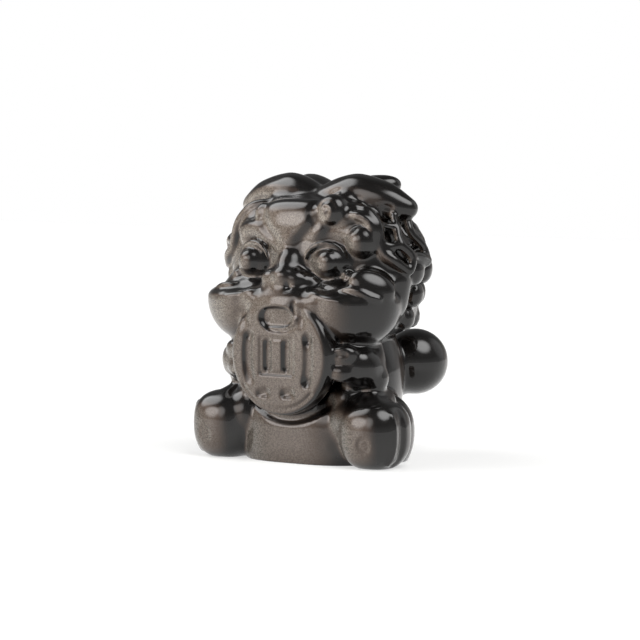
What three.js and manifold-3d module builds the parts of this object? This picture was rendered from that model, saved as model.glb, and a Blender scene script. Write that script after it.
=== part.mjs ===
// A seated pixiu, carved from one piece of dark sheen obsidian: a big lion-like head with curled brows,
// leaf-shaped ears and a netted mane, biting a round coin that its forepaws hold, with the soles of the
// hind feet turned forward and a bulb of a tail behind. One solid. Millimetres, +Z up, the face towards -Y.
// It is carved alike on both sides of the YZ plane, apart from the tail, which curls to its left (+X).

import * as THREE from "three";
import { mergeVertices } from "three/addons/utils/BufferGeometryUtils.js";
import Module from "manifold-3d";

const wasm = await Module();
wasm.setup();

// Driving dimensions
const SEAT_HALF_WIDTH = 6.3;
const SEAT_FRONT = -8.7; // the foot of the belly, between the feet
const FOOT_X = 7.9; // centre of each hind foot, from the middle plane
const FOOT_FRONT = -9.0;
const COIN_FRONT = -9.5;
const COIN_RADIUS = 5.05;
const COIN_HEIGHT = 9.2; // the coin's centre above the ground
const COIN_THICK = 1.9;
const JOWL_HEIGHT = 13.5; // the ridge of the cheeks
const EYE = { x: 3.95, y: -6.4, z: 16.8 };
const MANE = { y: -3.6, z: 16.3, halfWidth: 9.55, front: 4.2, back: 10, up: 7.2, down: 5.4 };
const EAR_TIP = { x: 8.1, y: -2.0, z: 21.5 };
const TAIL = { x: 3.55, y: 6.1, z: 7.8, radius: 2.9 };

const BOTH_SIDES = [1, -1];
const COARSE = { sides: 16, rings: 10 };
const FINE = { sides: 12, rings: 8 };
const SMALL = { sides: 8, rings: 5 };

// A closed geometry as a solid that can be joined and cut.
function solidOf(geometry) {
  const bare = geometry.clone();
  bare.deleteAttribute("normal");
  bare.deleteAttribute("uv");
  const merged = mergeVertices(bare, 1e-4);
  return new wasm.Manifold(
    new wasm.Mesh({
      numProp: 3,
      vertProperties: merged.attributes.position.array,
      triVerts: new Uint32Array(merged.index.array),
    }),
  );
}

// A rounded lump about a centre: size is its half width, front depth and half height. back and down
// give it another depth behind and below, and square above 2 makes it boxier.
function lump({ at, size, back = size[1], down = size[2], square = 2, turn = [0, 0, 0], mesh = FINE }) {
  const geometry = new THREE.SphereGeometry(1, mesh.sides, mesh.rings);
  geometry.rotateX(Math.PI / 2);
  const place = geometry.attributes.position;
  const v = new THREE.Vector3();
  for (let i = 0; i < place.count; i += 1) {
    v.fromBufferAttribute(place, i);
    const reach = v.toArray().reduce((sum, c) => sum + Math.abs(c) ** square, 0) ** (-1 / square);
    v.multiplyScalar(reach);
    v.set(v.x * size[0], v.y * (v.y < 0 ? size[1] : back), v.z * (v.z < 0 ? down : size[2]));
    place.setXYZ(i, ...v.toArray());
  }
  const [tx, ty, tz] = turn.map(THREE.MathUtils.degToRad);
  geometry.applyMatrix4(new THREE.Matrix4().makeRotationFromEuler(new THREE.Euler(tx, ty, tz)));
  geometry.translate(...at);
  return solidOf(geometry);
}

// A round bar with a ball at each end, its thickness changing along a smooth line through the points.
// Each point is [x, y, z, radius].
function bar({ points, sides = 8, steps = 7 }) {
  const CAP_RINGS = 2;
  const curve = new THREE.CatmullRomCurve3(
    points.map(([x, y, z]) => new THREE.Vector3(x, y, z)),
    false,
    "catmullrom",
    0.5,
  );
  const radiusAt = (t) => {
    const place = t * (points.length - 1);
    const i = Math.min(Math.floor(place), points.length - 2);
    return THREE.MathUtils.lerp(points[i][3], points[i + 1][3], place - i);
  };
  const frames = curve.computeFrenetFrames(steps);
  const rings = steps + 2 * CAP_RINGS;
  const geometry = new THREE.SphereGeometry(1, sides, rings);
  const place = geometry.attributes.position;
  const v = new THREE.Vector3();
  for (let i = 0; i < place.count; i += 1) {
    v.fromBufferAttribute(place, i);
    const ring = Math.round((Math.acos(THREE.MathUtils.clamp(v.y, -1, 1)) / Math.PI) * rings);
    const step = THREE.MathUtils.clamp(ring - CAP_RINGS, 0, steps);
    const t = step / steps;
    const past = (ring - CAP_RINGS - step) / CAP_RINGS; // how far into an end cap, from -1 to 1
    const girth = Math.cos((past * Math.PI) / 2);
    const around = Math.atan2(v.z, v.x);
    const r = radiusAt(t);
    const p = curve.getPoint(t);
    p.addScaledVector(curve.getTangent(t), r * Math.sin((past * Math.PI) / 2));
    p.addScaledVector(frames.normals[step], r * girth * Math.cos(around));
    p.addScaledVector(frames.binormals[step], r * girth * Math.sin(around));
    place.setXYZ(i, p.x, p.y, p.z);
  }
  const made = solidOf(geometry);
  if (made.volume() < 0) throw new Error("a bar came out inside out");
  return made;
}

// A disc with rounded edges, flat to the front, its front face at y.
function disc({ x, z, front, radius, thick, round = 0.4, sides = 48 }) {
  const profile = [new THREE.Vector2(0, -thick)];
  profile.push(new THREE.Vector2(radius, -thick));
  const corners = 2;
  for (let i = 0; i <= corners; i += 1) {
    const a = (i / corners) * (Math.PI / 2);
    profile.push(new THREE.Vector2(radius - round + round * Math.cos(a), -round + round * Math.sin(a)));
  }
  profile.push(new THREE.Vector2(0, 0));
  const geometry = new THREE.LatheGeometry(profile, sides);
  geometry.rotateX(Math.PI / 2); // the lathe's axis, +Y, now points to +Z
  geometry.rotateX(Math.PI / 2); // and now to -Y, the front
  geometry.translate(x, front, z);
  return solidOf(geometry);
}

const joined = (solids) => solids.reduce((whole, next) => whole.add(next));
const cut = (whole, cutters) => cutters.reduce((left, cutter) => left.subtract(cutter), whole);
const bothSides = (make) => BOTH_SIDES.flatMap((side) => make(side));

// The seat, belly and back, with the haunches and the hind feet, soles forward
function body() {
  const parts = [
    lump({ at: [0, -1.6, 1.8], size: [SEAT_HALF_WIDTH, -1.6 - SEAT_FRONT, 3.8], back: 6.4, square: 2.6, mesh: COARSE }),
    lump({ at: [0, -1.0, 7.0], size: [6.0, 6.2, 6.5], back: 6.0, down: 9, mesh: COARSE }),
    ...bothSides((side) => [
      lump({ at: [side * FOOT_X, -6.6, 2.75], size: [2.55, -6.6 - FOOT_FRONT, 2.9], back: 2.6, down: 3.8, square: 2.5 }),
      lump({ at: [side * 4.8, -2.3, 2.6], size: [3.3, 3.2, 3.3], back: 3.6, down: 4.2, square: 2.2 }),
      bar({
        points: [[side * 7.6, -6.5, 3.65, 1.9], [side * 6.2, -3.9, 4.6, 2.1], [side * 4.8, -1.6, 5.3, 2.2]],
        steps: 4,
      }),
    ]),
  ];
  return joined(parts);
}

// The forelegs, which reach round the coin and grip its edge with rounded toes
function forelegs() {
  return joined(
    bothSides((side) => [
      bar({
        points: [
          [side * 5.0, -1.8, 10.6, 2.0],
          [side * 6.5, -4.3, 8.0, 2.1],
          [side * 6.0, -6.3, 8.1, 1.9],
          [side * 4.9, -7.4, 8.7, 1.7],
        ],
        steps: 5,
      }),
      ...[9.5, 8.0].map((z) => lump({ at: [side * 5.5, -8.0, z], size: [0.95, 0.75, 0.68], mesh: SMALL })),
    ]),
  );
}

// The coin, with its raised rim and square centre
function coin() {
  return disc({ x: 0, z: COIN_HEIGHT, front: COIN_FRONT, radius: COIN_RADIUS, thick: COIN_THICK, sides: 32 });
}

// What is sunk in the coin's face: the square, in two slots, and rows of strokes round it
function coinStrokes() {
  const slot = (x, z, length, radius) =>
    bar({
      points: [[x, COIN_FRONT, z - length / 2, radius], [x, COIN_FRONT, z + length / 2, radius]],
      sides: 6,
      steps: 1,
    });
  const strokes = [];
  for (const side of BOTH_SIDES) {
    strokes.push(slot(side * 0.85 - 0.2, COIN_HEIGHT, 2.0, 0.45));
    strokes.push(slot(side * 3.05, COIN_HEIGHT - 0.1, 3.0, 0.4));
    strokes.push(lump({ at: [side * 1.25 - 0.3, COIN_FRONT, 6.1], size: [0.55, 0.4, 0.45], mesh: SMALL }));
  }
  return strokes;
}

// The head: skull, muzzle, jowls, nose, brows and eyes
function head() {
  return joined([
    lump({ at: [0, -2.6, 17.4], size: [7.3, 4.9, 4.9], back: 5, mesh: COARSE }),
    lump({ at: [0, -4.2, 19.4], size: [4.4, 3.5, 3.6] }),
    lump({ at: [0, -6.5, 13.3], size: [4.0, 3.2, 2.3], down: 1.8, square: 2.4, mesh: COARSE }),
    nose(),
    ...bothSides((side) => [jowl(side), brow(side), eye(side)]),
  ]);
}

function nose() {
  return joined([
    lump({ at: [0, -7.9, 16.2], size: [2.0, 1.25, 1.6] }),
    lump({ at: [0, -8.6, 16.1], size: [1.2, 1.05, 1.0] }),
    bar({ points: [[0, -7.2, 18.5, 0.75], [0, -8.3, 16.9, 1.05]], steps: 2, sides: 8 }),
    ...bothSides((side) => [lump({ at: [side * 1.35, -8.6, 15.5], size: [0.8, 0.8, 0.65], mesh: SMALL })]),
  ]);
}

// A jowl, full below and edged above by a lip that runs from the nose to an upturned corner
function jowl(side) {
  return joined([
    lump({
      at: [side * 5.3, -5.8, JOWL_HEIGHT],
      size: [5.05, 2.85, 1.0],
      down: 3.65,
      turn: [0, 0, side * 20],
      mesh: COARSE,
    }),
    lump({ at: [side * 7.2, -5.2, 14.7], size: [2.2, 1.8, 1.15], turn: [0, side * 18, side * 20], mesh: SMALL }),
    bar({
      points: [
        [side * 1.3, -8.9, 15.5, 0.35],
        [side * 2.6, -8.8, 15.0, 0.4],
        [side * 4.1, -8.4, 14.3, 0.45],
        [side * 6.0, -7.7, 13.9, 0.5],
        [side * 7.8, -6.8, 13.8, 0.5],
        [side * 9.5, -5.8, 13.8, 0.45],
      ],
      sides: 6,
      steps: 7,
    }),
  ]);
}

// A brow sweeps up and out from the bridge of the nose and ends in two curls.
function brow(side) {
  return joined([
    bar({
      points: [
        [side * 0.7, -7.5, 18.3, 0.8],
        [side * 2.1, -6.9, 19.5, 1.35],
        [side * 3.8, -6.0, 20.2, 1.75],
        [side * 5.4, -5.4, 19.4, 1.6],
        [side * 6.0, -5.2, 18.5, 1.3],
      ],
      steps: 6,
    }),
    curl({ side, at: [3.2, -5.7, 21.2], facing: [0.3, -0.85, 0.35], radius: 1.35 }),
    curl({ side, at: [5.7, -5.4, 19.35], facing: [0.55, -0.8, 0.15], radius: 1.3 }),
  ]);
}

// A curl of hair: a low dome with a spiral ridge wound in to its middle
function curl({ side, at, facing, radius, turns = 1.25, steps = 8 }) {
  const RIDGE = 0.3;
  const out = new THREE.Vector3(side * facing[0], facing[1], facing[2]).normalize();
  const across = new THREE.Vector3(0, 0, 1).cross(out).normalize();
  const upward = out.clone().cross(across);
  const middle = new THREE.Vector3(side * at[0], at[1], at[2]);
  const winding = 7;
  const points = Array.from({ length: winding }, (_, i) => {
    const share = i / (winding - 1);
    const angle = Math.PI * 1.2 - share * turns * 2 * Math.PI;
    const reach = THREE.MathUtils.lerp(radius - RIDGE, 0.12, share);
    const p = middle
      .clone()
      .addScaledVector(across, side * reach * Math.cos(angle))
      .addScaledVector(upward, reach * Math.sin(angle))
      .addScaledVector(out, 0.75 + 0.2 * share);
    return [p.x, p.y, p.z, RIDGE];
  });
  return joined([
    lump({ at: middle.toArray(), size: [radius, radius * 0.85, radius], mesh: SMALL }),
    bar({ points, sides: 4, steps }),
  ]);
}

// An eyeball with a raised iris, under a rim of lid
function eye(side) {
  const lid = 0.26;
  const rim = (points) => bar({ points: points.map(([x, y, z]) => [side * x, y, z, lid]), sides: 4, steps: 5 });
  return joined([
    lump({ at: [side * EYE.x, EYE.y, EYE.z], size: [1.95, 1.5, 1.45] }),
    lump({ at: [side * (EYE.x + 0.1), EYE.y - 0.95, EYE.z - 0.05], size: [0.95, 0.85, 0.95], mesh: SMALL }),
    rim([[1.75, -7.9, 16.85], [2.5, -7.9, 17.8], [3.8, -7.8, 18.35], [5.0, -7.3, 17.9], [5.75, -6.8, 16.8]]),
    rim([[1.75, -7.9, 16.85], [2.6, -8.0, 15.8], [3.9, -7.8, 15.35], [5.1, -7.2, 15.7], [5.75, -6.8, 16.8]]),
  ]);
}

// Two leaf-shaped ears on each side of the crown, swept out and back to a point
function ears() {
  return joined(
    bothSides((side) => [
      bar({
        points: [
          [side * 0.7, -3.4, 22.15, 1.6],
          [side * 3.2, -2.7, 22.4, 2.05],
          [side * 5.6, -2.4, 22.1, 1.85],
          [side * 7.0, -2.2, 21.7, 1.45],
          [side * EAR_TIP.x, EAR_TIP.y, EAR_TIP.z, 0.95],
        ],
        sides: 8,
        steps: 6,
      }),
      bar({
        points: [
          [side * 0.9, -0.6, 22.0, 1.6],
          [side * 2.8, 0.2, 22.7, 1.5],
          [side * 4.2, 0.8, 23.2, 1.05],
          [side * 4.8, 1.1, 23.4, 0.6],
        ],
        steps: 4,
      }),
    ]),
  );
}

// The mane behind the face, and the locks of hair that fall from it round the neck
function mane() {
  const { y, z, halfWidth, front, back, up, down } = MANE;
  const LOCKS = 9;
  const FIRST = 82; // degrees from the front
  const locks = Array.from({ length: LOCKS }, (_, i) => {
    const a = THREE.MathUtils.degToRad(FIRST + (i / (LOCKS - 1)) * (360 - 2 * FIRST));
    const ring = (reach, height, radius) => [
      halfWidth * reach * Math.sin(a),
      y - (Math.cos(a) > 0 ? front : back) * reach * Math.cos(a),
      height,
      radius,
    ];
    return bar({
      points: [ring(0.8, 15.4, 1.5), ring(0.79, 13.4, 1.55), ring(0.7, 11.4, 1.3), ring(0.72, 10.3, 0.7)],
      sides: 6,
      steps: 4,
    });
  });
  return joined([
    lump({ at: [0, y, z], size: [halfWidth, front, up], back, down, mesh: { sides: 22, rings: 13 } }),
    lump({ at: [0, -2.0, 12.2], size: [7.2, 4.6, 3.6], back: 6.6 }),
    ...locks,
  ]);
}

// The net of hollows sunk in the mane, in staggered rows round its sides and back
function maneHollows() {
  const ROWS = [20.8, 19.15, 17.4];
  const STEP = 20;
  const FIRST = 72;
  const hollows = [];
  ROWS.forEach((height, row) => {
    for (let angle = FIRST + (row % 2 ? 0 : STEP / 3); angle <= 181; angle += STEP) {
      for (const side of angle > 178 ? [1] : BOTH_SIDES) {
        const a = THREE.MathUtils.degToRad(angle);
        const rise = (height - MANE.z) / MANE.up;
        const reach = Math.sqrt(1 - rise ** 2);
        const depth = Math.cos(a) > 0 ? MANE.front : MANE.back;
        hollows.push(
          lump({
            at: [side * MANE.halfWidth * reach * Math.sin(a), MANE.y - depth * reach * Math.cos(a), height],
            size: [1.2, 0.8, 0.9],
            turn: [0, 0, side * angle],
            mesh: { sides: 6, rings: 3 },
          }),
        );
      }
    }
  });
  return hollows;
}

// The tail, a bulb that stands off the back and leans to the left
function tail() {
  return joined([
    bar({ points: [[0, 1.8, 5.4, 2.2], [TAIL.x * 0.55, 3.9, 6.6, 2.3], [TAIL.x, TAIL.y, TAIL.z, 2.3]], steps: 5 }),
    lump({ at: [TAIL.x, TAIL.y, TAIL.z], size: [TAIL.radius, TAIL.radius, TAIL.radius], mesh: COARSE }),
  ]);
}

const ground = solidOf(new THREE.BoxGeometry(60, 60, 10).translate(0, 0, -5));

let figure = joined([body(), tail(), mane(), ears(), head(), forelegs(), coin()]);
figure = cut(figure, [
  ...maneHollows(),
  ...coinStrokes(),
  lump({ at: [0, -9.6, 12.45], size: [1.7, 1.2, 0.8] }),
  ...bothSides((side) => [lump({ at: [side * 1.3, -9.4, 15.2], size: [0.35, 0.4, 0.3], mesh: SMALL })]),
  ground,
]);

const shape = figure.getMesh();
const geometry = new THREE.BufferGeometry();
geometry.setAttribute("position", new THREE.BufferAttribute(shape.vertProperties, shape.numProp));
geometry.setIndex(new THREE.BufferAttribute(shape.triVerts, 1));
// The origin is the middle of the figure's outline, on the ground.
geometry.computeBoundingBox();
const { min, max } = geometry.boundingBox;
geometry.translate(-(min.x + max.x) / 2, -(min.y + max.y) / 2, -min.z);
geometry.computeVertexNormals();

const obsidian = new THREE.MeshStandardMaterial({ color: 0x3a332e, roughness: 0.18, metalness: 0.1 });
const pixiu = new THREE.Mesh(geometry, obsidian);
pixiu.name = "pixiu";

const figurine = new THREE.Group();
figurine.add(pixiu);

export default figurine;
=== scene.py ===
# A seated pixiu, carved from one piece of polished sheen obsidian, on a pale table in studio light.

import math

import bmesh
import bpy
import numpy as np
from mathutils import Euler, Matrix, Vector
from mathutils.bvhtree import BVHTree


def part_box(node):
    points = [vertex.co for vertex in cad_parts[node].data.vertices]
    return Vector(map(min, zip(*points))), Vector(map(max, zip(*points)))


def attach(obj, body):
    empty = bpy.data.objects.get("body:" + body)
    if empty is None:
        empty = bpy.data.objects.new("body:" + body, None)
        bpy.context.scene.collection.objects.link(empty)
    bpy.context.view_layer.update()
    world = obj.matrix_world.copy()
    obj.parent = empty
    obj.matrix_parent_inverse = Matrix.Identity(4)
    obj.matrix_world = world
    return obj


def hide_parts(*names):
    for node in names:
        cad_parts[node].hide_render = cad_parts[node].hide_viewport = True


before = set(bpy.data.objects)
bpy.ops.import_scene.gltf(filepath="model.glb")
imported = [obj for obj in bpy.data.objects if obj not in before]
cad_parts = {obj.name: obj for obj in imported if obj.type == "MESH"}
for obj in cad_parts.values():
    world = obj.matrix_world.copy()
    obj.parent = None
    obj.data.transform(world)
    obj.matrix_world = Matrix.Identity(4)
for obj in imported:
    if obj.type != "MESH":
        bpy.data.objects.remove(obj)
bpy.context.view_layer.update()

# The body: seat, belly and back, all of the one block of obsidian, roughed out as a few full masses. The
# figure is carved in millimetres, the face towards -Y, with the coin's face at y -9.5, and is scaled and
# set in place last.

SEAT_HALF_WIDTH = 6.6
SEAT_FRONT = -8.2
SEAT_MIDDLE = -2.2
BOTH_SIDES = (1, -1)

masses = []


def keep(form):
    """Adds a finished form to the masses that the stone is made of."""
    mesh = bpy.data.meshes.new("mass")
    form.to_mesh(mesh)
    form.free()
    masses.append(mesh)


def lump(at, size, back=None, down=None, square=2.0, turn=(0, 0, 0), finish=4):
    """A rounded mass; size is half its width, its depth to the front and its height above the middle."""
    form = bmesh.new()
    verts = bmesh.ops.create_icosphere(form, subdivisions=finish, radius=1.0)["verts"]
    depth_back = size[1] if back is None else back
    depth_down = size[2] if down is None else down
    for vert in verts:
        p = vert.co
        p *= (abs(p.x) ** square + abs(p.y) ** square + abs(p.z) ** square) ** (-1 / square)
        p.x *= size[0]
        p.y *= size[1] if p.y < 0 else depth_back
        p.z *= depth_down if p.z < 0 else size[2]
    turned = Euler([math.radians(a) for a in turn], "ZYX").to_matrix()
    bmesh.ops.rotate(form, verts=verts, cent=(0, 0, 0), matrix=turned)
    bmesh.ops.translate(form, verts=verts, vec=at)
    keep(form)


seat = (SEAT_HALF_WIDTH, SEAT_MIDDLE - SEAT_FRONT, 4.1)
lump((0, SEAT_MIDDLE, 2.4), seat, back=4.8, down=5.0, square=3.1)
lump((0, -1.6, 1.8), (SEAT_HALF_WIDTH, 5.0, 3.8), back=6.4, square=2.6)
lump((0, -1.7, 7.2), (4.7, 5.5, 6.5), back=4.1, down=9.0)
lump((0, -0.4, 7.0), (5.7, 4.6, 6.5), back=5.4, down=9.0)

# The hind legs, of the same stone: stretched forward with round soles, with the haunches behind them. They
# are ground round and left thick, and a narrow edge stands round the left foot.

FOOT_X = 7.65
FOOT_MIDDLE = -6.2
FOOT_FRONT = -9.0
FOOT_EDGE = (
    (6.4, -7.75, 5.0, 0.35),
    (7.3, -7.7, 4.95, 0.5),
    (8.5, -7.3, 4.7, 0.5),
    (9.6, -7.0, 3.8, 0.45),
    (9.95, -6.9, 2.4, 0.4),
    (9.9, -6.9, 0.8, 0.3),
)
CLOSEST = 0.15


def smooth_line(points, step):
    """Points along a smooth curve through the given ones, about a step apart."""
    p = np.array(points, float)
    p = np.vstack([2 * p[0] - p[1], p, 2 * p[-1] - p[-2]])
    line = []
    for a, b, c, d in zip(p, p[1:], p[2:], p[3:]):
        count = max(1, math.ceil(np.linalg.norm((c - b)[:3]) / step))
        for t in np.arange(count) / count:
            bend = (2 * a - 5 * b + 4 * c - d) * t**2 + (3 * b - a - 3 * c + d) * t**3
            line.append(0.5 * (2 * b + (c - a) * t + bend))
    return np.array([*line, p[-2]])


def limb(*points, closeness=0.35):
    """A round limb through points of x, y, z and radius, as a close row of balls."""
    form = bmesh.new()
    thin = min(p[3] for p in points)
    for x, y, z, radius in smooth_line(points, max(thin * closeness, CLOSEST)):
        place = Matrix.Translation((x, y, z)) @ Matrix.Scale(radius, 4)
        bmesh.ops.create_icosphere(form, subdivisions=2, radius=1.0, matrix=place)
    keep(form)


for side in BOTH_SIDES:
    sole = (2.8, FOOT_MIDDLE - FOOT_FRONT, 2.85)
    lump((side * FOOT_X, FOOT_MIDDLE, 2.9), sole, back=2.8, down=3.15, square=2.6)
    limb((side * 7.4, -7.4, 4.6, 1.0), (side * 7.1, -6.2, 4.9, 1.35), (side * 6.2, -3.9, 5.1, 1.8))
    lump((side * 5.5, -5.9, 3.8), (2.1, 2.3, 2.3))
    lump((side * 4.7, -5.8, 5.5), (1.7, 1.7, 1.5))
    lump((side * 4.8, -2.3, 2.6), (3.4, 3.2, 3.4), back=3.6, down=4.2, square=2.2)

limb(*FOOT_EDGE)

# The tail, of the same stone: a smooth ball on a thick neck. It is left standing when the back is cut free
# round it, leans to the figure's left and is ground round.

TAIL = (3.55, 6.1, 7.8)
TAIL_RADIUS = 2.9

limb((0, 1.8, 5.4, 2.2), (1.9, 3.9, 6.6, 2.3), (*TAIL, 2.3))
lump(TAIL, (TAIL_RADIUS,) * 3)

# The head, of the same stone: skull, forehead, snout, the full jowls at each side of it, and on each cheek
# a fold like a leaf. They are roughed out round and rubbed into one another.

JOWL_HEIGHT = 13.8
JOWLS = ((1, 5.1, 33), (-1, 5.75, 24))

lump((0, -2.6, 17.4), (7.3, 4.9, 4.9), back=5.0)
lump((-0.35, -4.65, 20.1), (4.1, 2.95, 2.1), down=2.4, square=2.9, turn=(-13, 0, 0))
lump((-0.5, -5.4, 18.9), (2.2, 2.3, 2.1), square=2.5)
lump((-0.4, -4.2, 19.6), (4.7, 3.1, 3.0))
lump((0, -6.7, 13.4), (3.5, 3.0, 2.0), down=2.3, square=2.6)
for side, reach, swing in JOWLS:
    jowl = (side * reach, -5.5, JOWL_HEIGHT)
    lump(jowl, (4.0, 3.55, 1.3), back=2.8, down=3.9, square=2.1, turn=(0, 0, side * swing))
    lump((side * 2.8, -6.3, 13.2), (2.5, 2.75, 2.1), square=2.2)
    lump((side * 3.5, -6.7, 12.2), (1.9, 2.4, 2.0))
    lump((side * 4.3, -6.25, 14.4), (3.4, 1.9, 1.4))
    lump((side * 2.6, -6.6, 13.6), (2.5, 2.75, 1.35), square=2.8)
lump((7.5, -6.5, 15.2), (2.1, 0.9, 1.45), turn=(-32, 0, 42))
lump((-7.0, -6.0, 14.9), (2.0, 0.8, 1.2), turn=(-42, 0, -42))

# The nose, raised from the snout in the same stone: a broad pyramid with a wing on each side, rubbed smooth
# into the lip below it.

lump((-0.25, -7.2, 16.5), (1.35, 1.4, 2.1), turn=(-22, 0, 0))
lump((-0.15, -8.05, 15.8), (1.3, 1.35, 1.1))
lump((-0.3, -7.8, 14.6), (2.3, 1.55, 1.3))
lump((0.85, -8.0, 15.55), (1.1, 1.05, 0.95))
lump((-1.55, -7.9, 15.55), (1.15, 1.05, 0.95))
lump((1.9, -7.3, 15.2), (0.9, 0.9, 0.9))

# The brows, of the same stone: thick round bands that sweep up and out from the nose, rubbed into the
# forehead. Each ends in two curls, given here by their place and radius seen from the front.

LEFT_BROW = (
    (0.0, -6.5, 18.2, 0.75),
    (0.8, -6.3, 18.75, 0.85),
    (1.9, -6.0, 19.2, 0.95),
    (3.1, -5.8, 19.5, 1.0),
    (4.4, -5.65, 19.5, 1.05),
    (5.6, -5.5, 19.2, 1.15),
)
RIGHT_BROW = (
    (0.9, -7.05, 18.1, 0.75),
    (1.7, -6.85, 18.7, 0.85),
    (2.7, -6.6, 19.25, 0.95),
    (3.8, -6.3, 19.6, 1.0),
    (4.9, -5.95, 19.55, 1.05),
    (5.6, -5.6, 19.3, 1.15),
)
BROWS = (
    (1, LEFT_BROW, (3.3, 21.4, 1.4), (6.0, 19.0, 1.45)),
    (-1, RIGHT_BROW, (3.7, 21.0, 0.95), (5.4, 19.1, 1.15)),
)

for side, brow, upper, lower in BROWS:
    limb(*((side * x, y, z, r) for x, y, z, r in brow))
    lump((side * (lower[0] - 0.5), -4.9, lower[1] + 1.2), (1.9, 1.2, 1.4))
lump((4.2, -5.2, 20.6), (1.8, 1.5, 1.5))
lump((3.2, -4.4, 22.0), (1.3, 1.0, 0.9))
lump((-2.9, -3.9, 21.7), (2.0, 1.5, 1.1))

# The mane, of the same stone: a full cushion of hair round the back of the head, roughed out smooth, with a
# strand in front of it at each side that runs down behind the cheek.

MANE = (0, -3.6, 16.3)
MANE_HALF_WIDTH = 9.45
MANE_FRONT = 4.2
MANE_BACK = 9.9
MANE_UP = 7.1
MANE_DOWN = 5.2

cushion = (MANE_HALF_WIDTH - 0.8, MANE_FRONT - 0.5, MANE_UP - 0.6)
lump(MANE, cushion, back=MANE_BACK - 0.8, down=MANE_DOWN, finish=5)
lump((0, -2.6, 12.9), (7.8, 4.4, 3.6), back=7.6, down=3.2, square=2.3)
for side in BOTH_SIDES:
    limb((side * 8.1, -3.6, 15.5, 1.3), (side * 7.4, -3.4, 13.2, 1.25), (side * 6.0, -3.2, 11.8, 1.1))

# The ears, of the same stone: two thick leaves on each side of the crown, swept out and back to a blunt
# point and ground round.

EAR_TIP = (8.1, -2.0, 21.5)

for side in BOTH_SIDES:
    limb(
        (side * 0.6, -3.0, 21.9, 1.6),
        (side * 3.2, -2.7, 22.4, 2.05),
        (side * 5.6, -2.4, 22.1, 1.85),
        (side * 7.0, -2.2, 21.7, 1.45),
        (side * EAR_TIP[0], EAR_TIP[1], EAR_TIP[2], 0.95),
    )
    limb(
        (side * 0.9, -0.6, 22.0, 1.6),
        (side * 2.8, 0.2, 22.7, 1.5),
        (side * 4.2, 0.8, 23.2, 1.05),
        (side * 4.8, 1.1, 23.4, 0.6),
    )

# The forelegs, of the same stone, which reach round the coin. With them the rough form is whole, and it is
# ground over until its broad masses run into one another.

for side in BOTH_SIDES:
    limb(
        (side * 4.0, -3.2, 10.8, 1.8),
        (side * 5.9, -5.0, 8.5, 1.8),
        (side * 6.0, -6.3, 8.4, 1.9),
        (side * 5.1, -7.0, 8.75, 1.65),
    )
    lump((side * 6.9, -5.1, 7.3), (1.1, 1.4, 1.2), turn=(20, 0, 0))


def fuse(grain, rubs):
    """Makes the overlapping masses one skin, its faces as small as the grain, and rubs its creases round."""
    whole = bmesh.new()
    for mass in masses:
        whole.from_mesh(mass)
        bpy.data.meshes.remove(mass)
    mesh = bpy.data.meshes.new("carving")
    whole.to_mesh(mesh)
    whole.free()
    block = bpy.data.objects.new("carving", mesh)
    bpy.context.scene.collection.objects.link(block)
    skin = block.modifiers.new("skin", "REMESH")
    skin.mode = "VOXEL"
    skin.voxel_size = grain
    rub = block.modifiers.new("rub", "SMOOTH")
    rub.factor = 0.5
    rub.iterations = rubs
    bpy.context.view_layer.update()
    worked = bpy.data.meshes.new_from_object(block.evaluated_get(bpy.context.evaluated_depsgraph_get()))
    bpy.data.objects.remove(block)
    bpy.data.meshes.remove(mesh)
    masses[:] = [worked]


fuse(0.2, 7)

# The coin that it bites and holds, of the same stone: a thick disc with a rounded edge, under the lip of
# the muzzle. It is cut crisper than the body, and so are the two toes that grip it at each side.

COIN_FRONT = -9.5
COIN_RADIUS = 5.05
COIN_HEIGHT = 9.2
COIN_THICK = 1.9
COIN_EDGE = 0.55

coin = bmesh.new()
round_verts = bmesh.ops.create_cone(
    coin,
    cap_ends=True,
    segments=96,
    radius1=COIN_RADIUS,
    radius2=COIN_RADIUS,
    depth=COIN_THICK,
)["verts"]
rims = {e for v in round_verts for e in v.link_edges if abs(e.verts[0].co.z - e.verts[1].co.z) < 1e-6}
bmesh.ops.bevel(
    coin,
    geom=list(rims),
    offset=COIN_EDGE,
    segments=5,
    affect="EDGES",
    profile=0.5,
    material=-1,
    clamp_overlap=True,
)
bmesh.ops.rotate(coin, verts=coin.verts, cent=(0, 0, 0), matrix=Matrix.Rotation(math.pi / 2, 3, "X"))
bmesh.ops.translate(coin, verts=coin.verts, vec=(0, COIN_FRONT + COIN_THICK / 2, COIN_HEIGHT))
keep(coin)
lump((0, -7.0, 13.2), (4.5, 2.6, 1.7), down=2.7, square=2.8)
for side in BOTH_SIDES:
    for height, reach in ((9.5, 5.6), (7.95, 5.45)):
        lump((side * reach + 0.15, -8.0, height), (1.2, 0.75, 0.82), turn=(0, 0, side * 25))

# The mane's relief, of the same stone: a net of ropes with open meshes, and under it three rows of locks
# that hang to the neck. Its strands at the sides are listed one by one, and round the back it is carved more
# evenly.

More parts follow.
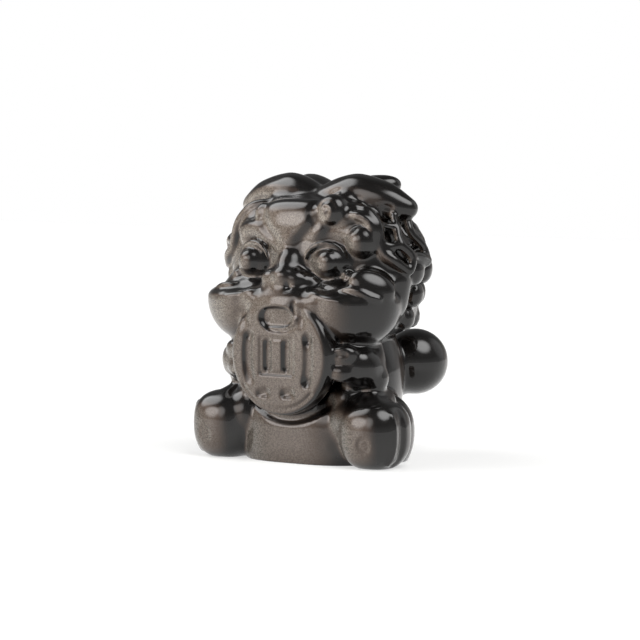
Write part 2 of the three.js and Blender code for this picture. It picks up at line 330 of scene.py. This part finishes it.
ROPE = 0.5
ROPE_REACH = 0.957
ROPES = 10
ROPES_FROM = 91
ROPES_APART = 178 / 12
ROPE_HEIGHTS = (22.6, 21.3, 19.9, 18.5, 17.1, 15.9)
ROPE_SWAY = 3.5
CROWN_HEIGHT = 19
CROWN_TUCK = 0.35
LOCK_ROWS = (
    (16.1, 100, 9, 8.85, 9.1, (1.15, 0.85, 1.35)),
    (14.1, 110, 8, 8.4, 8.5, (1.05, 0.8, 1.2)),
    (12.1, 104, 8, 7.9, 8.1, (0.95, 0.75, 1.1)),
)
SIDE_STRANDS = (
    (
        (4.3, -4.8, 21.8, 0.5),
        (5.9, -5.3, 21.5, 0.5),
        (7.2, -5.4, 20.3, 0.5),
        (7.45, -5.3, 18.9, 0.5),
        (7.75, -5.1, 17.9, 0.55),
        (8.6, -4.7, 17.2, 0.5),
        (9.4, -3.7, 16.3, 0.35),
    ),
    (
        (7.6, -3.4, 20.8, 0.35),
        (8.2, -3.8, 19.9, 0.4),
        (8.5, -4.1, 19.2, 0.4),
        (8.85, -4.1, 18.5, 0.45),
        (9.25, -3.5, 17.85, 0.45),
        (9.45, -3.3, 17.2, 0.4),
        (9.45, -3.6, 16.4, 0.35),
    ),
    ((7.5, -5.3, 18.9, 0.35), (8.1, -4.8, 18.4, 0.4), (8.85, -4.2, 18.5, 0.4)),
    ((7.2, -5.3, 20.3, 0.35), (7.6, -4.5, 20.1, 0.3), (8.2, -3.8, 20.0, 0.35)),
    (
        (7.6, -1.6, 21.2, 0.35),
        (8.3, -2.2, 20.0, 0.4),
        (8.6, -2.1, 19.3, 0.4),
        (9.1, -1.6, 18.6, 0.4),
        (9.3, -1.1, 17.7, 0.4),
        (9.3, -1.0, 16.9, 0.35),
    ),
    ((9.25, -3.3, 17.7, 0.4), (9.5, -2.1, 17.5, 0.4), (9.4, -0.9, 17.1, 0.4)),
)


def on_mane(angle, height):
    """A point of the net, by its angle from the front towards the left in degrees, and its height."""
    a = math.radians(angle)
    rise = (height - MANE[2]) / (MANE_UP if height > MANE[2] else MANE_DOWN)
    out = ROPE_REACH * math.sqrt(max(0, 1 - rise**2))
    depth = MANE_FRONT if math.cos(a) > 0 else MANE_BACK
    return (MANE_HALF_WIDTH * out * math.sin(a), MANE[1] - depth * out * math.cos(a), height)


def rope(*points):
    """A rope of the net, through points given by their angle round the mane and their height."""
    limb(*((*on_mane(angle, height), ROPE) for angle, height in points), closeness=0.5)


for side in BOTH_SIDES:
    for strand in SIDE_STRANDS:
        line = []
        for x, y, z, radius in strand:
            tuck = CROWN_TUCK if side < 0 and z > CROWN_HEIGHT else 0
            line.append((side * (x - tuck), y, z, radius))
        limb(*line)
for i in range(1, ROPES + 1):
    angle = ROPES_FROM + i * ROPES_APART
    sway = ROPE_SWAY if i % 2 else -ROPE_SWAY
    if i > 1:
        swings = (0, -sway, sway, -sway, sway, 0)
        rope(*((angle + swing, height) for swing, height in zip(swings, ROPE_HEIGHTS)))
    for height in (21.2, 18.4) if i % 2 else (19.8, 17.0):
        rope((angle + 2, height), (angle + 7, height - 0.25), (angle + 12, height))
for height, first, count, wide, deep, size in LOCK_ROWS:
    for i in range(count):
        angle = first + i / (count - 1) * (360 - 2 * first)
        a = math.radians(angle)
        reach = MANE_FRONT if math.cos(a) > 0 else deep
        place = (wide * math.sin(a), MANE[1] - reach * math.cos(a), height)
        lump(place, size, down=size[2] * 0.85, turn=(0, 12, angle), finish=3)

# The curls that the brows end in, of the same stone: two round knobs at each side, and over the left ones
# a thin hood, which the carver left standing between them and the mane.

for side, brow, upper, lower in BROWS:
    lump((side * upper[0], -6.15, upper[1]), (upper[2], 0.85 * upper[2], upper[2]), turn=(-24, 0, 0))
    lump((side * lower[0], -5.6, lower[1] - 0.2), (lower[2],) * 3)
limb(
    (4.4, -6.0, 20.9, 0.3),
    (5.7, -6.1, 21.0, 0.42),
    (6.8, -5.9, 20.5, 0.46),
    (7.15, -5.8, 19.6, 0.42),
    (6.9, -6.0, 18.7, 0.3),
)

# The eyes, of the same stone: a bulging ball with a raised iris and a bead at its outer corner, under a
# thin crescent of lid, left standing from the face and rubbed round.

EYES = ((1, 3.4, 17.0), (-1, 4.15, 16.9))
LID_FROM = 5
LID_TO = 150
LID_POINTS = 8
LID_THIN = 0.12
LID_THICK = 0.28

for side, x, z in EYES:
    lump((side * x, -6.5, z), (1.9, 1.35, 1.6))
    lump((side * (x + 0.25), -7.45, z + 0.05), (1.05, 0.8, 1.05))
    lump((side * (x + 1.9), -6.75, z - 1.1), (0.55, 0.5, 0.45))
    lid = []
    for i in range(LID_POINTS):
        part = i / (LID_POINTS - 1)
        t = math.radians(LID_FROM + (LID_TO - LID_FROM) * part)
        radius = LID_THIN + (LID_THICK - LID_THIN) * math.sin(math.pi * part)
        across = x - 1.9 * math.cos(t)
        lid.append((side * across, -7.3 - 0.45 * math.cos(t), z + 1.65 * math.sin(t), radius))
    limb(*lid)

# The rims of the cheeks, of the same stone: a thin raised edge along the foot of each leaf, above the jowl.
# With them all that stands out is there, and the carving is ground over once more, finer.

for side in BOTH_SIDES:
    limb(
        (side * 5.2, -8.0, 14.85, 0.15),
        (side * 6.1, -8.05, 14.95, 0.25),
        (side * 7.1, -7.85, 14.75, 0.32),
        (side * 8.0, -7.4, 14.3, 0.3),
        (side * 8.7, -6.9, 14.1, 0.15),
        closeness=0.2,
    )

fuse(0.13, 5)

# The marks on the coin, cut into the stone with a fine tool: a square with two slots, a tall stroke at each
# side, two dots, the line of the rim and the dark gap under it. A stroke is a run of points on the skin. It
# cuts in by its depth, or raises a bead where that is below nought, and is gone at its half-width.

cut = masses[0]
skin = np.zeros(len(cut.vertices) * 3)
cut.vertices.foreach_get("co", skin)
skin = skin.reshape(-1, 3)
facing_out = np.zeros(len(cut.vertices) * 3)
cut.vertices.foreach_get("normal", facing_out)
facing_out = facing_out.reshape(-1, 3)
feel = BVHTree.FromPolygons(skin.tolist(), [tuple(p.vertices) for p in cut.polygons])
OUTSIDE = 20


def touch(at, way, press=1.0):
    """The point of the skin that a tool meets on its way, and how hard it presses there."""
    spot = feel.ray_cast(Vector(at), Vector(way))[0]
    return (*spot, press)


def from_front(x, z, press=1.0):
    """Touched straight from the front."""
    return touch((x, -OUTSIDE, z), (0, 1, 0), press)


def from_side(angle, height, press=1.0):
    """Touched from outside towards the head's axis; the angle runs from the front towards the left."""
    way = Vector((math.sin(math.radians(angle)), -math.cos(math.radians(angle)), 0))
    return touch(Vector((0, MANE[1], height)) + OUTSIDE * way, -way, press)


def carve(*strokes):
    """Cuts strokes of points, half-width, depth and firmness; where they cross, the deepest holds."""
    deep = np.zeros(len(skin))
    for points, width, depth, *firm in strokes:
        line = smooth_line(points, 0.25) if len(points) > 2 else np.array(points, float)
        if len(line) == 1:
            line = np.vstack([line, line + (0, 0, 0.001, 0)])
        low = line[:, :3].min(0) - width
        high = line[:, :3].max(0) + width
        near = np.nonzero(((skin > low) & (skin < high)).all(1))[0]
        p = skin[near]
        amount = np.zeros(len(p))
        for a, b in zip(line, line[1:]):
            way = (b - a)[:3]
            along = np.clip((p - a[:3]) @ way / (way @ way), 0, 1)
            apart = np.linalg.norm(p - a[:3] - along[:, None] * way, axis=1)
            fade = np.clip((1 - apart / width) * (firm[0] if firm else 1), 0, 1)
            fade = fade * fade * (3 - 2 * fade) * (a[3] + along * (b[3] - a[3]))
            amount = np.maximum(amount, fade)
        amount *= depth
        deep[near] = np.where(abs(amount) > abs(deep[near]), amount, deep[near])
    skin[:] -= deep[:, None] * facing_out


def front(*points):
    """The points of a stroke, touched from the front."""
    return [from_front(*p) for p in points]


def ring(x, z, across, up, first, last, count=14):
    """Points round an oval seen from the front; angles in degrees from +X towards +Z."""
    turn = np.radians(np.linspace(first, last, count))
    return [from_front(x + across * math.cos(t), z + up * math.sin(t)) for t in turn]


carve(
    (front((-1.82, 10.66), (1.42, 10.66)), 0.28, 0.1),
    (front((-1.82, 7.7), (1.42, 7.7)), 0.3, 0.2),
    (front((-1.82, 10.66), (-1.82, 7.7)), 0.28, 0.1),
    (front((1.42, 10.66), (1.42, 7.7)), 0.28, 0.16),
    (front((-1.15, 10.2), (-1.15, 8.2)), 0.52, 0.26, 1.9),
    (front((0.8, 10.2), (0.8, 8.2)), 0.52, 0.26, 1.9),
    (front((-3.05, 10.8, 0.8), (-3.2, 9.6, 0.8), (-3.15, 8.2, 0.8), (-2.9, 7.2, 0.5)), 0.62, 0.26, 1.5),
    (front((3.0, 10.8, 0.7), (3.1, 9.6, 0.5), (3.05, 8.2, 0.6), (2.85, 7.1, 0.8)), 0.6, 0.28, 1.5),
    (ring(0, COIN_HEIGHT, 4.5, 4.5, 215, 318), 0.26, 0.16),
    (ring(0, COIN_HEIGHT, 5.45, 5.45, 226, 314), 0.7, 0.25),
    (front((5.6, 9.5), (6.2, 9.5)), 0.5, 0.2),
)
carve(
    (front((-1.15, 10.2)), 0.4, 0.16),
    (front((0.8, 10.2)), 0.4, 0.16),
    (front((-1.2, 8.15)), 0.42, 0.26),
    (front((0.8, 8.15)), 0.42, 0.26),
    (front((-3.1, 10.75)), 0.45, 0.22),
    (front((3.0, 10.55)), 0.5, 0.28),
    (front((2.9, 7.25)), 0.5, 0.34),
    (front((-1.85, 5.95, 0.8), (-1.3, 6.05)), 0.6, 0.26),
    (front((0.65, 6.05), (1.25, 6.1, 0.9)), 0.6, 0.26),
)

# The mouth, cut into the stone above the coin: a shallow oval hole with a flat floor, a line round it and a
# low rim, and folds at its corners, all made with narrow strokes.

MOUTH_X = -0.23
MOUTH_Z = 12.42

carve((front((-1.0, 12.38), (0.55, 12.46)), 0.92, 0.34, 4.0))
carve(
    (ring(MOUTH_X, MOUTH_Z, 1.4, 0.74, 20, 340, 30), 0.3, 0.2),
    (front((-1.1, 12.15), (-0.95, 12.3)), 0.45, 0.22, 1.4),
    (ring(MOUTH_X, MOUTH_Z, 1.98, 1.14, 0, 360, 30), 0.3, -0.07),
    (front((1.6, 13.9, 0.3), (1.62, 13.2), (1.72, 12.5, 0.5)), 0.3, 0.16),
    (front((-3.5, 13.6, 0.3), (-3.6, 12.8), (-3.5, 12.0), (-3.7, 11.4, 0.3)), 0.8, 0.16),
    (front((2.2, 13.4, 0.3), (2.4, 12.6), (2.5, 11.9, 0.3)), 0.7, 0.14),
    (front((-1.7, 11.75, 0.3), (-0.9, 11.4), (0, 11.3), (0.9, 11.4), (1.7, 11.75, 0.3)), 0.28, 0.16),
)

# The nostril and the forehead, cut into the stone: a small pit under the nose's left wing, and two wide
# shallow creases that leave the forehead standing between them as a smooth wedge.

carve((front((0.75, 15.05)), 0.42, 0.25))
carve(
    (front((-3.5, 21.0, 0.5), (-2.7, 19.8), (-1.9, 18.9), (-1.1, 18.1, 0.3)), 0.9, 0.24),
    (front((2.5, 20.9, 0.4), (1.9, 19.9), (1.1, 19.1), (0.2, 18.3, 0.3)), 0.9, 0.28),
)

# The pupils and the lip, in the same stone: a fine dot drilled in each iris, and a low raised edge along
# the upper lip, which starts beside the nose and dies out on the jowl.

LIP = ((2.5, 14.75, 0.3), (3.3, 14.5, 1.0), (4.4, 14.2, 0.8), (5.8, 13.95, 0.4))

for side, x, z in EYES:
    carve((front((side * (x + 0.2), z)), 0.2, 0.1))
    carve((front(*((side * along, up, press) for along, up, press in LIP)), 0.5, -0.2))

# The spiral of the left brow's upper curl, a fine groove cut into the stone that winds in to its middle,
# and the crease round it where the curl meets the forehead.

CURL_X, CURL_Z, CURL_RADIUS = BROWS[0][2]


def spiral(x, z, radius, turns, start, count=40):
    """Points of a spiral that winds in from the radius to near the middle, seen from the front."""
    line = []
    for i in range(count):
        t = i / (count - 1)
        a = math.radians(start) + turns * 2 * math.pi * t
        r = radius * (1 - 0.88 * t)
        line.append(from_front(x + r * math.cos(a), z + r * math.sin(a), 0.4 + 0.6 * min(1, 4 * t)))
    return line


carve(
    (spiral(CURL_X - 0.1, CURL_Z, 0.72 * CURL_RADIUS, 1.5, -40), 0.28, 0.13),
    (ring(CURL_X, CURL_Z, 1.15 * CURL_RADIUS, 1.15 * CURL_RADIUS, 110, 230, 24), 0.5, 0.1),
)

# The open meshes of the mane's net, sunk into the stone between the ropes as short upright hollows, two to
# each space between two ropes, with steep sides.

pits = []
for i in range(1, ROPES + 1):
    angle = ROPES_FROM + (i + 0.5) * ROPES_APART
    for height in (19.8, 17.2) if i % 2 else (21.0, 18.4):
        pit = [from_side(angle + 1, height + 0.4), from_side(angle - 1, height - 0.4)]
        pits.append((pit, 0.8, 0.4, 1.4))
carve(*pits)

# The ears and the soles, finished in the stone: a hollow down the face of each ear, a round dimple in each
# sole, and on the outer side of each foot a raised edge with a groove behind it. Then the strokes are
# rubbed soft at their edges, as the polishing does.

DIMPLE_X = 8.2
DIMPLE_Z = 2.1
SOLE_EDGE_Y = -7.3
SOLE_GROOVE_Y = -6.3

for side in BOTH_SIDES:
    edge = []
    for z in (0.5, 1.5, 2.5, 3.6, 4.6):
        edge.append(touch((side * OUTSIDE, SOLE_EDGE_Y, z), (-side, 0, 0)))
    groove = []
    for z, press in ((0.3, 1), (1.8, 1), (3.4, 1), (4.8, 0.5)):
        groove.append(touch((side * OUTSIDE, SOLE_GROOVE_Y, z), (-side, 0, 0), press))
    carve(
        (front((side * 4.6, 22.3, 0.4), (side * 5.9, 22.0), (side * 7.3, 21.6, 0.5)), 0.55, 0.3),
        (ring(side * DIMPLE_X, DIMPLE_Z, 0.42, 0.5, 0, 360, 12), 0.35, 0.1),
        (front((side * DIMPLE_X, DIMPLE_Z)), 0.5, 0.12),
        (edge, 0.4, -0.2),
        (groove, 0.6, 0.22),
    )

cut.vertices.foreach_set("co", skin.ravel())
fuse(0.12, 3)

# The finished figure: one stone, ground flat under the seat and the feet, polished to glass, and set in its
# place. Sheen obsidian is a near-black glass with flat layers of fine bubbles, which shine a greyish brown;
# here that shine is painted sheen, painted into the colour on the faces that look one fixed way.

TRIANGLES = 190000
MILLIMETRE = 0.001
# The painted sheen: the way that the faces look which it is painted on, the colours of its grains, and the
# brown painted where it fades.
PAINTED_SHEEN_WAY = (-0.525, -0.842, -0.12)
PAINTED_SHEEN_DARK = (0.085, 0.07, 0.056, 1)
PAINTED_SHEEN_LIGHT = (0.3, 0.26, 0.218, 1)
PAINTED_SHEEN_EDGE = (0.19, 0.12, 0.085, 1)
GLASS = (0.0045, 0.0034, 0.003, 1)
GRAINS_PER_METRE = 11500
GRAIN_DEPTH = 0.000006

mesh = masses[0]
mesh.name = "pixiu_figurine"
stone = bmesh.new()
stone.from_mesh(mesh)
everything = [*stone.verts, *stone.edges, *stone.faces]
bmesh.ops.bisect_plane(stone, geom=everything, plane_co=(0, 0, 0), plane_no=(0, 0, -1), clear_outer=True)
bmesh.ops.holes_fill(stone, edges=[e for e in stone.edges if e.is_boundary], sides=0)
bmesh.ops.triangulate(stone, faces=stone.faces[:])
stone.to_mesh(mesh)
stone.free()
low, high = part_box("pixiu")
points = np.zeros(len(mesh.vertices) * 3)
mesh.vertices.foreach_get("co", points)
points = points.reshape(-1, 3)
middle = (points.min(0) + points.max(0)) / 2
mesh.transform(Matrix.Scale(MILLIMETRE, 4) @ Matrix.Translation((-middle[0], -middle[1], 0)))
mesh.transform(Matrix.Translation(((low.x + high.x) / 2, (low.y + high.y) / 2, 0)))
pixiu = bpy.data.objects.new("pixiu_figurine", mesh)
bpy.context.scene.collection.objects.link(pixiu)
thin = pixiu.modifiers.new("thin", "DECIMATE")
thin.ratio = min(1, TRIANGLES / len(mesh.polygons))
bpy.context.view_layer.update()
final = bpy.data.meshes.new_from_object(pixiu.evaluated_get(bpy.context.evaluated_depsgraph_get()))
pixiu.modifiers.clear()
pixiu.data = final
final.shade_smooth()

obsidian = bpy.data.materials.new("sheen_obsidian")
obsidian.use_nodes = True
nodes = obsidian.node_tree.nodes
wire = obsidian.node_tree.links.new
polish = nodes["Principled BSDF"]
polish.inputs["IOR"].default_value = 1.5
polish.inputs["Metallic"].default_value = 0.55
polish.inputs["Specular IOR Level"].default_value = 0.15
polish.inputs["Coat Weight"].default_value = 1.0
polish.inputs["Coat Roughness"].default_value = 0.05
polish.inputs["Coat IOR"].default_value = 1.5
place = nodes.new("ShaderNodeTexCoord")


def step(kind, **settings):
    """One step of the stone's finish."""
    made = nodes.new("ShaderNode" + kind)
    for name, value in settings.items():
        setattr(made, name, value)
    return made


# Painted sheen: a greyish brown painted into the colour, strongest on the faces that look along the sheen
# way, weak on those that lean back to the sky, and again, fainter, on the faces that look the opposite way.
# It stands for the shine of the stone's layers together with where the light fell on them.
facing = step("VectorMath", operation="DOT_PRODUCT")
facing.inputs[1].default_value = PAINTED_SHEEN_WAY
wire(place.outputs["Normal"], facing.inputs[0])
painted_sheen_facing = step("MapRange")
painted_sheen_facing.inputs["From Min"].default_value = 0.36
painted_sheen_facing.inputs["From Max"].default_value = 0.95
wire(facing.outputs["Value"], painted_sheen_facing.inputs["Value"])
painted_front_sheen = step("Math", operation="POWER")
painted_front_sheen.inputs[1].default_value = 2.4
wire(painted_sheen_facing.outputs["Result"], painted_front_sheen.inputs[0])
lean = step("SeparateXYZ")
wire(place.outputs["Normal"], lean.inputs["Vector"])
level = step("MapRange", interpolation_type="SMOOTHSTEP")
level.inputs["From Min"].default_value = 0.3
level.inputs["From Max"].default_value = 0.65
level.inputs["To Min"].default_value = 1.0
level.inputs["To Max"].default_value = 0.1
wire(lean.outputs["Z"], level.inputs["Value"])
kept = step("Math", operation="MULTIPLY")
wire(painted_front_sheen.outputs["Value"], kept.inputs[0])
wire(level.outputs["Result"], kept.inputs[1])
painted_back_sheen = step("MapRange", interpolation_type="SMOOTHSTEP")
painted_back_sheen.inputs["From Min"].default_value = -0.5
painted_back_sheen.inputs["From Max"].default_value = -0.98
painted_back_sheen.inputs["To Max"].default_value = 0.4
wire(facing.outputs["Value"], painted_back_sheen.inputs["Value"])
painted_sheen = step("Math", operation="ADD")
wire(kept.outputs["Value"], painted_sheen.inputs[0])
wire(painted_back_sheen.outputs["Result"], painted_sheen.inputs[1])

# It drifts a little from place to place, at random, and it is painted stronger towards the top, the head
# more than the seat, as painted light from above.
cloud = step("TexNoise")
cloud.inputs["Scale"].default_value = 160
cloud.inputs["Detail"].default_value = 3
wire(place.outputs["Object"], cloud.inputs["Vector"])
drift = step("MapRange")
drift.inputs["From Min"].default_value = 0.3
drift.inputs["From Max"].default_value = 0.7
drift.inputs["To Min"].default_value = 0.82
drift.inputs["To Max"].default_value = 1.12
wire(cloud.outputs["Fac"], drift.inputs["Value"])

height = step("SeparateXYZ")
wire(place.outputs["Object"], height.inputs["Vector"])
painted_top_light = step("MapRange")
painted_top_light.inputs["From Min"].default_value = 0.004
painted_top_light.inputs["From Max"].default_value = 0.021
painted_top_light.inputs["To Min"].default_value = 0.76
painted_top_light.inputs["To Max"].default_value = 1.5
wire(height.outputs["Z"], painted_top_light.inputs["Value"])
# The random drift times the painted light from above.
depth = step("Math", operation="MULTIPLY")
wire(drift.outputs["Result"], depth.inputs[0])
wire(painted_top_light.outputs["Result"], depth.inputs[1])

# Its grains are the bubbles, each a little lighter or darker than the next, in the colours of the painted
# sheen.
grains = step("TexVoronoi", feature="F1")
grains.inputs["Scale"].default_value = GRAINS_PER_METRE
wire(place.outputs["Object"], grains.inputs["Vector"])
shade = step("SeparateColor")
wire(grains.outputs["Color"], shade.inputs["Color"])
sparkle = step("ValToRGB")
sparkle.color_ramp.elements[0].position = 0.0
sparkle.color_ramp.elements[0].color = PAINTED_SHEEN_DARK
sparkle.color_ramp.elements[1].position = 1.0
sparkle.color_ramp.elements[1].color = PAINTED_SHEEN_LIGHT
wire(shade.outputs["Red"], sparkle.inputs["Fac"])

tint = step("Mix", data_type="RGBA", blend_type="MULTIPLY")
tint.inputs["Factor"].default_value = 1.0
wire(sparkle.outputs["Color"], tint.inputs[6])
wire(depth.outputs["Value"], tint.inputs[7])

# Where the painted sheen fades it is painted brown, and beyond it the glass is nearly black.
painted_sheen_fade = step("Mix", data_type="RGBA")
painted_sheen_fade.inputs[6].default_value = PAINTED_SHEEN_EDGE
wire(painted_sheen.outputs["Value"], painted_sheen_fade.inputs["Factor"])
wire(tint.outputs[2], painted_sheen_fade.inputs[7])

glass = step("Mix", data_type="RGBA")
glass.inputs[6].default_value = GLASS
wire(painted_sheen.outputs["Value"], glass.inputs["Factor"])
wire(painted_sheen_fade.outputs[2], glass.inputs[7])
wire(glass.outputs[2], polish.inputs["Base Color"])

# Under the smooth polish the layers are duller than the glass, and each grain tilts its own way.
gloss = step("MapRange")
gloss.inputs["To Min"].default_value = 0.3
gloss.inputs["To Max"].default_value = 0.48
wire(painted_sheen.outputs["Value"], gloss.inputs["Value"])
wire(gloss.outputs["Result"], polish.inputs["Roughness"])
tilt = step("Bump")
tilt.inputs["Strength"].default_value = 1.0
tilt.inputs["Distance"].default_value = GRAIN_DEPTH
wire(grains.outputs["Distance"], tilt.inputs["Height"])
wire(tilt.outputs["Normal"], polish.inputs["Normal"])

final.materials.clear()
final.materials.append(obsidian)

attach(pixiu, "root")
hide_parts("pixiu")

# The pale table that it stands on and the studio light round it. The table is a smooth white sheet that
# glows a little, less towards the stone than towards the camera. The light comes from large soft lamps,
# before a plain white backdrop.

TABLE_HALF_WIDTH = 0.35
TABLE_TO_STONE = 0.4
TABLE_TO_CAMERA = 0.5
BACKDROP = 1.0

ground = bmesh.new()
bmesh.ops.create_grid(ground, x_segments=1, y_segments=1, size=TABLE_HALF_WIDTH)
ground_mesh = bpy.data.meshes.new("table")
ground.to_mesh(ground_mesh)
ground.free()
table = bpy.data.objects.new("table", ground_mesh)
bpy.context.scene.collection.objects.link(table)
pale = bpy.data.materials.new("pale_table")
pale.use_nodes = True
gloss_white = pale.node_tree.nodes["Principled BSDF"]
gloss_white.inputs["Base Color"].default_value = (0.6, 0.6, 0.59, 1)
gloss_white.inputs["Roughness"].default_value = 0.22
gloss_white.inputs["Specular IOR Level"].default_value = 0.03
gloss_white.inputs["Emission Color"].default_value = (1, 1, 1, 1)
ray = pale.node_tree.nodes.new("ShaderNodeLightPath")
bright = pale.node_tree.nodes.new("ShaderNodeMapRange")
bright.inputs["To Min"].default_value = TABLE_TO_STONE
bright.inputs["To Max"].default_value = TABLE_TO_CAMERA
pale.node_tree.links.new(ray.outputs["Is Camera Ray"], bright.inputs["Value"])
pale.node_tree.links.new(bright.outputs["Result"], gloss_white.inputs["Emission Strength"])
ground_mesh.materials.append(pale)

world = bpy.data.worlds.new("studio")
world.use_nodes = True
sky = world.node_tree.nodes
lead = world.node_tree.links.new
air = sky["Background"]
around = sky.new("ShaderNodeTexCoord")

# Each lamp: the angle of its middle from the front towards the left, its height in degrees, the angle from
# its middle within which it is full, the one at which it is gone, and its brightness.
LAMPS = (
    (-72, 46, 14, 27, 3.8),
    (-33, 18, 5, 18, 4.2),
    (-8, 23, 5, 21, 2.3),
    (78, 55, 11, 29, 5.0),
    (145, 28, 10, 30, 0.5),
    (60, 0, 40, 100, 0.15),
    (0, -90, 88, 108, 0.3),
    (0, 90, 179, 180, 0.12),
)


def glow_at(azimuth, height, inner, outer, bright):
    """The light of one lamp, as it is seen from the figure in each direction."""
    a = math.radians(azimuth)
    h = math.radians(height)
    near = sky.new("ShaderNodeVectorMath")
    near.operation = "DOT_PRODUCT"
    near.inputs[1].default_value = (math.sin(a) * math.cos(h), -math.cos(a) * math.cos(h), math.sin(h))
    lead(around.outputs["Generated"], near.inputs[0])
    level = sky.new("ShaderNodeMapRange")
    level.interpolation_type = "SMOOTHSTEP"
    level.inputs["From Min"].default_value = math.cos(math.radians(outer))
    level.inputs["From Max"].default_value = math.cos(math.radians(inner))
    level.inputs["To Max"].default_value = bright
    lead(near.outputs["Value"], level.inputs["Value"])
    return level.outputs["Result"]


total = None
for lamp in LAMPS:
    light = glow_at(*lamp)
    if total:
        both = sky.new("ShaderNodeMath")
        lead(total, both.inputs[0])
        lead(light, both.inputs[1])
        total = both.outputs["Value"]
    else:
        total = light
seen = sky.new("ShaderNodeLightPath")
backdrop = sky.new("ShaderNodeMix")
lead(seen.outputs["Is Camera Ray"], backdrop.inputs["Factor"])
lead(total, backdrop.inputs["A"])
backdrop.inputs["B"].default_value = BACKDROP
lead(backdrop.outputs["Result"], air.inputs["Strength"])
air.inputs["Color"].default_value = (1, 1, 1, 1)
bpy.context.scene.world = world
bpy.context.scene.view_settings.view_transform = "Standard"

# The camera, low and to the figure's left of its face, about ten heights away. The figure comes out at a
# little under twelve pixels a millimetre.

AZIMUTH = math.radians(35)
ELEVATION = math.radians(4.3)
DISTANCE = 0.25
TARGET = Vector((0, -0.00295, 0.01184))
SENSOR = 36
PICTURE_WIDTH = 640
PIXELS_PER_METRE = 11700

camera = bpy.data.objects.new("camera", bpy.data.cameras.new("camera"))
bpy.context.scene.collection.objects.link(camera)
level_way = Vector((math.sin(AZIMUTH), -math.cos(AZIMUTH), 0))
towards = level_way * math.cos(ELEVATION) + Vector((0, 0, math.sin(ELEVATION)))
camera.location = TARGET + DISTANCE * towards
camera.rotation_euler = (-towards).to_track_quat("-Z", "Y").to_euler()
camera.data.lens = SENSOR * PIXELS_PER_METRE * DISTANCE / PICTURE_WIDTH
camera.data.sensor_width = SENSOR
camera.data.clip_start = 0.01
camera.data.clip_end = 10
bpy.context.scene.camera = camera
